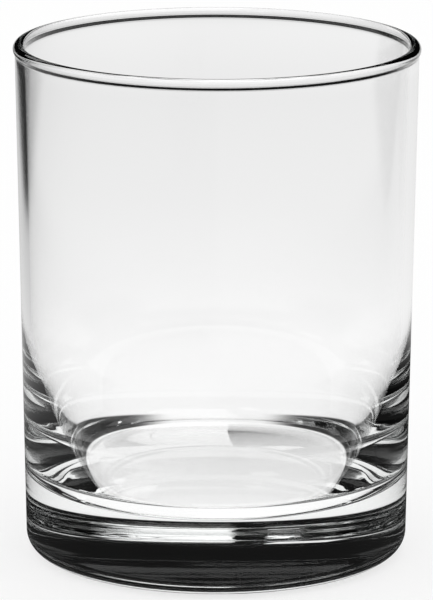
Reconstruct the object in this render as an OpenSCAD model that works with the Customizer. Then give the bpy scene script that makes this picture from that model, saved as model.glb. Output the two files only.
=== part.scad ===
// Double old fashioned glass: a short, heavy tumbler of clear glass.
// It stands on the plane z = 0 with its axis on Z. Sizes are in millimetres.
// The real glass is one piece. Its five zones, from the base up to the rim, meet face to face and turn about one axis.

/* [Overall] */
// Height from the table to the top of the rim
height = 106.1; // [96:0.1:120]
// Diameter over the rim bead, the widest place
rim_d = 83; // [76:0.1:92]
// Lean of the outside of the wall, outward from the base to the rim, in degrees
draft = 1.0; // [0:0.1:2]

/* [Wall and rim] */
// Thickness of the straight part of the wall
wall_t = 2.0; // [1.6:0.1:3]
// How far the rim bead stands out from the wall
bead_out = 0.38; // [0.2:0.02:0.6]
// Height of the swelling from the wall to the widest part of the bead
bead_rise = 1.3; // [1:0.1:2.4]
// Thickness of the bead over that of the wall
bead_extra = 0.44; // [0.1:0.02:0.6]

/* [Base] */
// Thickness of the solid base, from the table to the floor of the cup
base_t = 14.1; // [9:0.1:18]
// Radius of the rounded heel
heel_r = 4.0; // [2:0.1:6]
// Width of the flat ring that the glass stands on
foot_w = 4.0; // [2:0.1:7]
// Depth of the shallow hollow under the base
punt_depth = 0.9; // [0.3:0.1:1.6]

/* [Inside] */
// Radius of the corner between the floor and the wall
floor_r = 7.0; // [4:0.1:12]
// Radius of the long curve by which the wall thickens towards the base
sweep_r = 88; // [70:1:140]
// Height over the floor at which that curve starts
sweep_h = 34.0; // [28:0.1:44]

/* [Hidden] */
$fn = 180;

clear_glass = [0.88, 0.90, 0.90, 0.45];

// Wall line: outside radius at a height, without the bead
lean = tan(draft);
top_r = (wall_t + bead_extra) / 2;
bead_z = height - top_r;
function wall_out(z) = rim_d / 2 - bead_out - lean * (bead_z - z);

// Bead: two equal arcs make a smooth swelling from the wall to the widest place
neck_z = bead_z - bead_rise;
swell_a = 2 * atan(bead_out / bead_rise);
swell_r = bead_rise / (2 * sin(swell_a));
lip_shift = bead_out - bead_extra;
swell_steps = 8;
// Pairs of height and share of the full swelling, from the neck up
swell = concat(
    [for (i = [0 : swell_steps]) let (a = swell_a * i / swell_steps)
        [neck_z + swell_r * sin(a), swell_r * (1 - cos(a)) / bead_out]],
    [for (i = [1 : swell_steps]) let (a = swell_a * (1 - i / swell_steps))
        [bead_z - swell_r * sin(a), 1 - swell_r * (1 - cos(a)) / bead_out]]);

// Heel: an arc that meets the table and the leaning wall
heel_c = wall_out(heel_r) - heel_r * sqrt(1 + lean * lean);
punt_rim = heel_c - foot_w;
punt_ball = (punt_rim * punt_rim + punt_depth * punt_depth) / (2 * punt_depth);

// Inside: the straight wall, the long sweep and the corner run into one another
sweep_z = base_t + sweep_h;
sweep_c = [wall_out(sweep_z) - wall_t - sweep_r * cos(draft), sweep_z + sweep_r * sin(draft)];
corner_dz = sweep_c[1] - base_t - floor_r;
corner_dr = sqrt(pow(sweep_r - floor_r, 2) - pow(corner_dz, 2));
corner_c = [sweep_c[0] + corner_dr, base_t + floor_r];
join_a = atan2(corner_dz, corner_dr);
join_z = sweep_c[1] - sweep_r * sin(join_a);
// The corner's thin foot on the floor is left blunt
foot_a = 84;

// Points along an arc about c, from angle a to angle b
function arc(c, r, a, b, steps) =
    [for (i = [0 : steps]) let (t = a + (b - a) * i / steps) [c[0] + r * cos(t), c[1] + r * sin(t)]];

// The solid base, with its heel and the shallow hollow that leaves a ring to stand on
module heavy_base() {
    hollow_a = asin(punt_rim / punt_ball);
    color(clear_glass)
    rotate_extrude()
    polygon(concat(
        [[0, base_t]],
        arc([0, punt_depth - punt_ball], punt_ball, 90, 90 - hollow_a, 8),
        arc([heel_c, heel_r], heel_r, -90, -draft, 16),
        [[wall_out(base_t), base_t]]));
}

// The ring of glass that rounds the floor into the wall
module floor_corner() {
    color(clear_glass)
    rotate_extrude()
    polygon(concat(
        [[wall_out(base_t), base_t], [wall_out(join_z), join_z]],
        arc(corner_c, floor_r, -join_a, -foot_a, 15),
        [[corner_c[0] + floor_r * cos(foot_a), base_t]]));
}

// The lower wall, which thins upward along the long sweep
module wall_foot() {
    color(clear_glass)
    rotate_extrude()
    polygon(concat(
        [[wall_out(join_z), join_z], [wall_out(sweep_z), sweep_z]],
        arc(sweep_c, sweep_r, -draft, -join_a, 24)));
}

// The straight wall up to the neck under the bead
module side_wall() {
    color(clear_glass)
    rotate_extrude()
    polygon([
        [wall_out(sweep_z), sweep_z],
        [wall_out(neck_z), neck_z],
        [wall_out(neck_z) - wall_t, neck_z],
        [wall_out(sweep_z) - wall_t, sweep_z]]);
}

// The rounded rim with its low bead on the outside
module rim_bead() {
    color(clear_glass)
    rotate_extrude()
    polygon(concat(
        [for (p = swell) [wall_out(p[0]) + bead_out * p[1], p[0]]],
        arc([rim_d / 2 - top_r, bead_z], top_r, 9, 171, 18),
        [for (i = [len(swell) - 1 : -1 : 0]) let (p = swell[i])
            [wall_out(p[0]) - wall_t + lip_shift * p[1], p[0]]]));
}

heavy_base();
floor_corner();
wall_foot();
side_wall();
rim_bead();
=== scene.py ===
# A clear double old fashioned glass on a white table, in metres, standing on z = 0 with its axis on Z.
import bpy
import math
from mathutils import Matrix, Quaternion, Vector


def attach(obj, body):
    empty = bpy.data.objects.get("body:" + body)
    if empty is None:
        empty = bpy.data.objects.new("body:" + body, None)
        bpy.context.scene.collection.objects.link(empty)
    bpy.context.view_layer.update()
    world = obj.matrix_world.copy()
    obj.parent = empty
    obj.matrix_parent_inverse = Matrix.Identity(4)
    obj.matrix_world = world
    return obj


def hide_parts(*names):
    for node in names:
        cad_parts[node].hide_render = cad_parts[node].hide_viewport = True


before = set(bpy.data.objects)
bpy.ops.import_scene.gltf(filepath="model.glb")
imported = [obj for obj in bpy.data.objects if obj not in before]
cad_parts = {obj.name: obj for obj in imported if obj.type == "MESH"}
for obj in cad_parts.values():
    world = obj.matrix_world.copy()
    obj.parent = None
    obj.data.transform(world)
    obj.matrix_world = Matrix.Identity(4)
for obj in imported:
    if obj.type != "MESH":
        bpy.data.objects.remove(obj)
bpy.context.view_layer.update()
scene = bpy.context.scene
MM = 0.001
WHITE = (1, 1, 1, 1)

# Sizes of the glass in millimetres, the same as in the solid model
HEIGHT = 106.1
RIM_D = 83.0
DRAFT = math.radians(1.0)
WALL_T = 2.0
BEAD_OUT = 0.38
BEAD_RISE = 1.3
BEAD_EXTRA = 0.44
BASE_T = 14.1
HEEL_R = 4.0
FOOT_W = 4.0
PUNT_DEPTH = 0.9
FLOOR_R = 7.0
SWEEP_R = 88.0
SWEEP_H = 34.0

# Fineness of the turned mesh: steps round the axis and along each stretch of the section
TURN_STEPS = 256
PUNT_STEPS = 14
FOOT_STEPS = 3
HEEL_STEPS = 24
OUTSIDE_STEPS = 30
SWELL_STEPS = 10
LIP_STEPS = 32
INSIDE_STEPS = 24
SWEEP_STEPS = 48
CORNER_STEPS = 40
FLOOR_STEPS = 12

# The glass: its index, its faint waves, the haze of its smears and its faint tint by thickness
GLASS_INDEX = 1.52
WAVE_SCALE = 70
WAVE_DEPTH = 0.0000025
SMEAR_SCALE = 160
SMEAR_SPAN = (0.5, 0.8)
SMEAR_HAZE = 0.012
TINT = (0.90, 0.92, 0.91, 1)
TINT_DENSITY = 6.0

# Camera, fitted to the outline of the glass and to the edges of its rim
IMAGE_W = 433
IMAGE_H = 600
CAMERA_RISE = math.radians(13.42)
CAMERA_FAR = 1.0
CAMERA_ROLL = math.radians(0.12)
CAMERA_REACH = 100
FOCAL_PX = 4863.3
CENTRE_PX = (216.55, 295.87)
SENSOR = 36.0

# Table and room, as the camera sees them: a matt table, mixed with plain white for a pale shadow
TABLE_R = 12
TABLE_EDGES = 128
TABLE_DROP = 0.0003
FLOOR_GREY = 0.94
FLOOR_WHITE = 0.70
ROOM_LIGHT = 1.0

# Painted light on the table that only the glass shows: its glow by the distance from the glass in metres.
# It fades a little, most of all at about a metre, and is bright again far away
POOL = [(0.04, 1.08), (0.06, 1.02), (0.13, 1.00), (0.20, 0.93), (0.34, 0.86), (0.50, 0.83), (0.62, 0.89),
        (0.85, 0.64), (1.60, 0.64), (4.00, 0.90)]
POOL_REACH = 5.0
# Painted shade at the far left draws the line down the left edge: its spans from light to dark and back
CORNER_X = (-0.55, -0.47, -0.22, -0.155)
CORNER_Y = (0.19, 0.31, 0.66, 0.85)
CORNER_LIGHT = 0.05
# A larger and softer patch of painted shade nearer the glass is only dim and greys the left side of the cup
DIM_X = (-0.37, -0.25, -0.23, -0.01)
DIM_Y = (-0.31, 0.13, 0.76, 0.88)
DIM_LIGHT = 0.68
# Painted shadow of the heel on the table: in a ring that is open at the back, in a wider one in front,
# and out to both sides
SHADE_IN = (0.037, 0.039)
SHADE_BACK = (0.046, 0.050)
SHADE_OPEN = (0.008, 0.022)
SHADE_FRONT = (0.065, 0.085)
FRONT_Y = (-0.030, -0.020)
SIDE_SLOPE = (0.20, 1.00)
SIDE_FAR = (0.05, 0.15)
SHADE_LIGHT = 0.04
# Painted shade far in front: the table fades there, so that the back of the cup mirrors no bright horizon
FADE_Y = (-1.5, -0.3)
FADE_LIGHT = 0.35
# Painted reflection of the table on the glass's outside: nearly black close by, and brighter at the right
MIRROR_LEFT = (0.08, 0.18)
MIRROR_LEFT_LEVELS = (0.02, 0.6)
MIRROR_RIGHT = (0.16, 0.23)
MIRROR_RIGHT_LEVELS = (0.02, 0.8)
MIRROR_SIDE = (-0.02, 0.02)
# The room over the table in the glass: pale at the horizon behind, dark above and in front
BAND_LIGHT = 0.9
BAND_LOW = math.radians(0.0)
BAND_HIGH = math.radians(0.5)
BAND_SIDE = (-0.05, 0.05)
DARK_ROOM = 0.006

# The lamp that lights the table
LIGHT_PLACE = (0.3, -0.2, 1.6)
LIGHT_AIM = (0, 0, 0)
LIGHT_SIZE = 1.2
LIGHT_RADIANCE = 0.4
# Panels overhead that only the glass shows: x and y of the middle, width, depth and radiance
PANEL_Z = 1.0
PANELS = {
    "top_panel": (0.31, 0.35, 0.82, 1.7, 1.3),
    "side_panel": (-0.39, -0.55, 0.22, 0.40, 1.4),
    "back_panel": (-0.75, 1.75, 0.7, 0.9, 1.0),
}
BOUNCES = 32
GLOSSY_BOUNCES = 16


def arc(centre, radius, first, last, steps):
    """Points along an arc, with the angles in radians."""
    points = []
    for i in range(steps + 1):
        a = first + (last - first) * i / steps
        points.append((centre[0] + radius * math.cos(a), centre[1] + radius * math.sin(a)))
    return points


def line(start, end, steps):
    """Points along a straight line, without its two ends."""
    points = []
    for i in range(1, steps):
        t = i / steps
        points.append((start[0] + (end[0] - start[0]) * t, start[1] + (end[1] - start[1]) * t))
    return points


LEAN = math.tan(DRAFT)
TOP_R = (WALL_T + BEAD_EXTRA) / 2
BEAD_Z = HEIGHT - TOP_R
NECK_Z = BEAD_Z - BEAD_RISE


def wall_out(z):
    """Outside radius of the wall at a height, without the bead."""
    return RIM_D / 2 - BEAD_OUT - LEAN * (BEAD_Z - z)


def swelling(steps):
    """Pairs of height and share of the bead's swelling, from the neck up: two equal arcs."""
    angle = 2 * math.atan(BEAD_OUT / BEAD_RISE)
    radius = BEAD_RISE / (2 * math.sin(angle))
    pairs = []
    for i in range(steps + 1):
        a = angle * i / steps
        pairs.append((NECK_Z + radius * math.sin(a), radius * (1 - math.cos(a)) / BEAD_OUT))
    for i in range(1, steps + 1):
        a = angle * (1 - i / steps)
        pairs.append((BEAD_Z - radius * math.sin(a), 1 - radius * (1 - math.cos(a)) / BEAD_OUT))
    return pairs


def glass_profile():
    """The section of the glass, from the middle of its underside round to the middle of the cup's floor."""
    heel_c = wall_out(HEEL_R) - HEEL_R * math.sqrt(1 + LEAN * LEAN)
    punt_rim = heel_c - FOOT_W
    punt_ball = (punt_rim ** 2 + PUNT_DEPTH ** 2) / (2 * PUNT_DEPTH)
    hollow = math.asin(punt_rim / punt_ball)
    quarter = math.pi / 2
    points = arc((0, PUNT_DEPTH - punt_ball), punt_ball, quarter, quarter - hollow, PUNT_STEPS)
    points[0] = (0, PUNT_DEPTH)
    points += line(points[-1], (heel_c, 0), FOOT_STEPS)
    points += arc((heel_c, HEEL_R), HEEL_R, -quarter, -DRAFT, HEEL_STEPS)
    points += line(points[-1], (wall_out(NECK_Z), NECK_Z), OUTSIDE_STEPS)
    swell = swelling(SWELL_STEPS)
    points += [(wall_out(z) + BEAD_OUT * share, z) for z, share in swell]
    points += arc((RIM_D / 2 - TOP_R, BEAD_Z), TOP_R, 0, math.pi, LIP_STEPS)[1:]
    lip_shift = BEAD_OUT - BEAD_EXTRA
    points += [(wall_out(z) - WALL_T + lip_shift * share, z) for z, share in reversed(swell[:-1])]
    sweep_z = BASE_T + SWEEP_H
    wall_in = wall_out(sweep_z) - WALL_T
    points += line(points[-1], (wall_in, sweep_z), INSIDE_STEPS)
    sweep_c = (wall_in - SWEEP_R * math.cos(DRAFT), sweep_z + SWEEP_R * math.sin(DRAFT))
    corner_dz = sweep_c[1] - BASE_T - FLOOR_R
    corner_dr = math.sqrt((SWEEP_R - FLOOR_R) ** 2 - corner_dz ** 2)
    corner_c = (sweep_c[0] + corner_dr, BASE_T + FLOOR_R)
    join = math.atan2(corner_dz, corner_dr)
    points += arc(sweep_c, SWEEP_R, -DRAFT, -join, SWEEP_STEPS)
    points += arc(corner_c, FLOOR_R, -join, -quarter, CORNER_STEPS)[1:]
    points += line(points[-1], (0, BASE_T), FLOOR_STEPS)
    points.append((0, BASE_T))
    return points


def turned(name, points, steps):
    """A smooth closed mesh turned about Z from a section in millimetres that starts and ends on the axis."""
    verts = []
    rings = []
    for r, z in points:
        if r == 0:
            rings.append([len(verts)] * steps)
            verts.append((0, 0, z * MM))
            continue
        rings.append([len(verts) + k for k in range(steps)])
        for k in range(steps):
            a = 2 * math.pi * k / steps
            verts.append((r * math.cos(a) * MM, r * math.sin(a) * MM, z * MM))
    faces = []
    for low, high in zip(rings, rings[1:]):
        for k in range(steps):
            n = (k + 1) % steps
            corners = [low[k], low[n], high[n], high[k]]
            faces.append(list(dict.fromkeys(corners)))
    mesh = bpy.data.meshes.new(name)
    mesh.from_pydata(verts, [], faces)
    mesh.polygons.foreach_set("use_smooth", [True] * len(mesh.polygons))
    mesh.update()
    piece = bpy.data.objects.new(name, mesh)
    scene.collection.objects.link(piece)
    return piece


def new_material(name):
    """A node material with only its output, its tree and that output."""
    material = bpy.data.materials.new(name)
    material.use_nodes = True
    tree = material.node_tree
    tree.nodes.clear()
    return material, tree, tree.nodes.new("ShaderNodeOutputMaterial")


def node(tree, kind, **values):
    """A new node with values on its named inputs."""
    made = tree.nodes.new("ShaderNode" + kind)
    for key, value in values.items():
        made.inputs[key.replace("_", " ")].default_value = value
    return made


def eased(tree, source, span, ends):
    """A smooth step of a value: the first of the ends before the span, the second after it."""
    step = node(tree, "MapRange", From_Min=span[0], From_Max=span[1], To_Min=ends[0], To_Max=ends[1])
    step.interpolation_type = "SMOOTHSTEP"
    tree.links.new(source, step.inputs["Value"])
    return step.outputs["Result"]


def calc(tree, operation, *values):
    """The result of a mathematical operation on one or two values of the tree."""
    step = node(tree, "Math")
    step.operation = operation
    for value, socket in zip(values, step.inputs):
        tree.links.new(value, socket)
    return step.outputs["Value"]


def product(tree, first, *others):
    """Two or more values of the tree, multiplied."""
    result = first
    for other in others:
        result = calc(tree, "MULTIPLY", result, other)
    return result


def blend(tree, share, first, second):
    """The first value where the share is 0 and the second where it is 1."""
    mix = node(tree, "Mix")
    tree.links.new(share, mix.inputs["Factor"])
    tree.links.new(first, mix.inputs["A"])
    tree.links.new(second, mix.inputs["B"])
    return mix.outputs["Result"]


def shader_blend(tree, share, first, second):
    """The first shader where the share is 0 and the second where it is 1."""
    mix = node(tree, "MixShader")
    tree.links.new(share, mix.inputs["Fac"])
    tree.links.new(first, mix.inputs[1])
    tree.links.new(second, mix.inputs[2])
    return mix.outputs["Shader"]


def in_glass(tree, path):
    """1 for a ray that a mirror or a glass sends, 0 for the camera's own and for plain light."""
    return calc(tree, "MAXIMUM", path.outputs["Is Glossy Ray"], path.outputs["Is Transmission Ray"])


def glass_material():
    """Clear soda-lime glass: faint waves from the mould, and a trace of haze in small smears."""
    material, tree, output = new_material("clear_glass")
    shader = node(tree, "BsdfPrincipled", Base_Color=WHITE, Transmission_Weight=1, IOR=GLASS_INDEX)
    place = node(tree, "TexCoord")
    waves = node(tree, "TexNoise", Scale=WAVE_SCALE, Detail=1.0, Roughness=0.4)
    tree.links.new(place.outputs["Object"], waves.inputs["Vector"])
    bump = node(tree, "Bump", Strength=1.0, Distance=WAVE_DEPTH)
    tree.links.new(waves.outputs["Fac"], bump.inputs["Height"])
    tree.links.new(bump.outputs["Normal"], shader.inputs["Normal"])
    smears = node(tree, "TexNoise", Scale=SMEAR_SCALE, Detail=5.0, Roughness=0.6)
    tree.links.new(place.outputs["Object"], smears.inputs["Vector"])
    haze = node(tree, "MapRange", From_Min=SMEAR_SPAN[0], From_Max=SMEAR_SPAN[1], To_Max=SMEAR_HAZE)
    tree.links.new(smears.outputs["Fac"], haze.inputs["Value"])
    tree.links.new(haze.outputs["Result"], shader.inputs["Roughness"])
    tree.links.new(shader.outputs["BSDF"], output.inputs["Surface"])
    tint = node(tree, "VolumeAbsorption", Color=TINT, Density=TINT_DENSITY)
    tree.links.new(tint.outputs["Volume"], output.inputs["Volume"])
    return material


def patch(tree, axes, x_span, y_span, light):
    """Share of light left in a soft rectangle of painted shade on the table, and 1 outside it."""
    steps = []
    for axis, span in (("X", x_span), ("Y", y_span)):
        steps.append(eased(tree, axes.outputs[axis], span[:2], (0, 1)))
        steps.append(eased(tree, axes.outputs[axis], span[2:], (1, 0)))
    return eased(tree, product(tree, *steps), (0, 1), (1, light))


def painted_pool_light(tree, distance):
    """The painted pool of light that the table shows through the glass, by distance."""
    share = node(tree, "MapRange", From_Min=0, From_Max=POOL_REACH)
    tree.links.new(distance, share.inputs["Value"])
    ramp = node(tree, "ValToRGB")
    stops = ramp.color_ramp.elements
    while len(stops) < len(POOL):
        stops.new(1.0)
    for stop, (far, level) in zip(stops, POOL):
        stop.position = far / POOL_REACH
        stop.color = (level, level, level, 1)
    tree.links.new(share.outputs["Result"], ramp.inputs["Fac"])
    return ramp.outputs["Color"]


def painted_heel_shade(tree, distance, axes):
    """Share of light left on the table under a painted shadow of the glass's heel."""
    beside = calc(tree, "ABSOLUTE", axes.outputs["X"])
    slope = calc(tree, "DIVIDE", calc(tree, "ABSOLUTE", axes.outputs["Y"]), beside)
    back_ring = eased(tree, distance, SHADE_BACK, (1, 0))
    back = product(tree, back_ring, eased(tree, beside, SHADE_OPEN, (0, 1)))
    front_ring = eased(tree, distance, SHADE_FRONT, (1, 0))
    front = product(tree, front_ring, eased(tree, axes.outputs["Y"], FRONT_Y, (1, 0)))
    side_reach = eased(tree, distance, SIDE_FAR, (1, 0))
    sides = product(tree, side_reach, eased(tree, slope, SIDE_SLOPE, (1, 0)))
    darkest = calc(tree, "MAXIMUM", calc(tree, "MAXIMUM", back, front), sides)
    outside = eased(tree, distance, SHADE_IN, (0, 1))
    return eased(tree, product(tree, darkest, outside), (0, 1), (1, SHADE_LIGHT))


def painted_table_light(tree, path):
    """Painted light of the table in the glass: one level through it, a painted reflection on its outside."""
    place = node(tree, "TexCoord").outputs["Object"]
    length = node(tree, "VectorMath")
    length.operation = "LENGTH"
    tree.links.new(place, length.inputs[0])
    distance = length.outputs["Value"]
    axes = node(tree, "SeparateXYZ")
    tree.links.new(place, axes.inputs[0])
    # Painted shade on the table: a dim patch and a darker corner patch
    dim = patch(tree, axes, DIM_X, DIM_Y, DIM_LIGHT)
    patches = product(tree, dim, patch(tree, axes, CORNER_X, CORNER_Y, CORNER_LIGHT))
    shade = painted_heel_shade(tree, distance, axes)
    fade = eased(tree, axes.outputs["Y"], FADE_Y, (FADE_LIGHT, 1))
    through = product(tree, painted_pool_light(tree, distance), product(tree, patches, shade), fade)
    left = eased(tree, distance, MIRROR_LEFT, MIRROR_LEFT_LEVELS)
    right = eased(tree, distance, MIRROR_RIGHT, MIRROR_RIGHT_LEVELS)
    side = eased(tree, axes.outputs["X"], MIRROR_SIDE, (0, 1))
    painted_reflection = product(tree, blend(tree, side, left, right), patches)
    return blend(tree, path.outputs["Is Transmission Ray"], painted_reflection, through)


def floor_material():
    """A matt white table that keeps its shadow. Glass shows it as a painted pool of light in a dark room."""
    material, tree, output = new_material("white_table")
    path = node(tree, "LightPath")
    matt = node(tree, "BsdfDiffuse", Color=(FLOOR_GREY, FLOOR_GREY, FLOOR_GREY, 1))
    plain = node(tree, "Emission", Color=WHITE, Strength=1)
    share = eased(tree, path.outputs["Is Camera Ray"], (0, 1), (0, FLOOR_WHITE))
    seen = shader_blend(tree, share, matt.outputs["BSDF"], plain.outputs["Emission"])
    # For rays that the glass sends, the table glows with painted light and painted shade
    painted_table_glow = node(tree, "Emission", Color=WHITE)
    tree.links.new(painted_table_light(tree, path), painted_table_glow.inputs["Strength"])
    surface = shader_blend(tree, in_glass(tree, path), seen, painted_table_glow.outputs["Emission"])
    tree.links.new(surface, output.inputs["Surface"])
    material.cycles.emission_sampling = "NONE"
    return material


def make_world():
    """White for the camera and for plain light. In glass only the horizon behind is pale, the rest dark."""
    world = bpy.data.worlds.new("studio")
    scene.world = world
    world.use_nodes = True
    tree = world.node_tree
    tree.nodes.clear()
    output = node(tree, "OutputWorld")
    place = node(tree, "TexCoord")
    axes = node(tree, "SeparateXYZ")
    tree.links.new(place.outputs["Generated"], axes.inputs[0])
    horizon = eased(tree, axes.outputs["Y"], BAND_SIDE, (DARK_ROOM, BAND_LIGHT))
    band = node(tree, "MapRange", From_Min=math.sin(BAND_LOW), From_Max=math.sin(BAND_HIGH), To_Max=DARK_ROOM)
    tree.links.new(axes.outputs["Z"], band.inputs["Value"])
    tree.links.new(horizon, band.inputs["To Min"])
    room = node(tree, "Value").outputs["Value"]
    room.default_value = ROOM_LIGHT
    level = blend(tree, in_glass(tree, node(tree, "LightPath")), room, band.outputs["Result"])
    sky = node(tree, "Background", Color=WHITE)
    tree.links.new(level, sky.inputs["Strength"])
    tree.links.new(sky.outputs["Background"], output.inputs["Surface"])


def soft_box(name, place, aim, width, depth, radiance, lights_table):
    """A rectangular lamp. One that doesn't light the table only shows in the glass."""
    lamp = bpy.data.lights.new(name, "AREA")
    lamp.shape = "RECTANGLE"
    lamp.size = width
    lamp.size_y = depth
    lamp.energy = radiance * math.pi * width * depth
    holder = bpy.data.objects.new(name, lamp)
    holder.location = place
    holder.rotation_mode = "QUATERNION"
    holder.rotation_quaternion = (Vector(aim) - Vector(place)).to_track_quat("-Z", "Y")
    holder.visible_camera = False
    holder.visible_diffuse = lights_table
    holder.visible_glossy = not lights_table
    holder.visible_transmission = not lights_table
    scene.collection.objects.link(holder)


def make_camera():
    """The camera that looks at the middle of the glass, with the lens and the shift of its picture."""
    data = bpy.data.cameras.new("camera")
    camera = bpy.data.objects.new("camera", data)
    scene.collection.objects.link(camera)
    scene.camera = camera
    back = Vector((0, -math.cos(CAMERA_RISE), math.sin(CAMERA_RISE)))
    camera.location = Vector((0, 0, HEIGHT / 2 * MM)) + back * CAMERA_FAR
    camera.rotation_mode = "QUATERNION"
    camera.rotation_quaternion = (-back).to_track_quat("-Z", "Y") @ Quaternion((0, 0, 1), CAMERA_ROLL)
    data.sensor_fit = "AUTO"
    data.sensor_width = SENSOR
    data.lens = FOCAL_PX / IMAGE_H * SENSOR
    data.shift_x = (IMAGE_W / 2 - CENTRE_PX[0]) / IMAGE_H
    data.shift_y = (CENTRE_PX[1] - IMAGE_H / 2) / IMAGE_H
    data.clip_end = CAMERA_REACH


glass = turned("tumbler_glass", glass_profile(), TURN_STEPS)
glass.data.materials.append(glass_material())
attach(glass, "root")
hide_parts("heavy_base", "floor_corner", "wall_foot", "side_wall", "rim_bead")

bpy.ops.mesh.primitive_circle_add(vertices=TABLE_EDGES, radius=TABLE_R, fill_type="NGON",
                                  location=(0, 0, -TABLE_DROP))
floor = bpy.context.object
floor.name = "table"
floor.data.materials.append(floor_material())

make_world()
soft_box("top_light", LIGHT_PLACE, LIGHT_AIM, LIGHT_SIZE, LIGHT_SIZE, LIGHT_RADIANCE, True)
for panel, (x, y, width, depth, radiance) in PANELS.items():
    soft_box(panel, (x, y, PANEL_Z), (x, y, 0), width, depth, radiance, False)
make_camera()

scene.view_settings.view_transform = "Standard"
scene.cycles.max_bounces = BOUNCES
scene.cycles.transmission_bounces = BOUNCES
scene.cycles.glossy_bounces = GLOSSY_BOUNCES
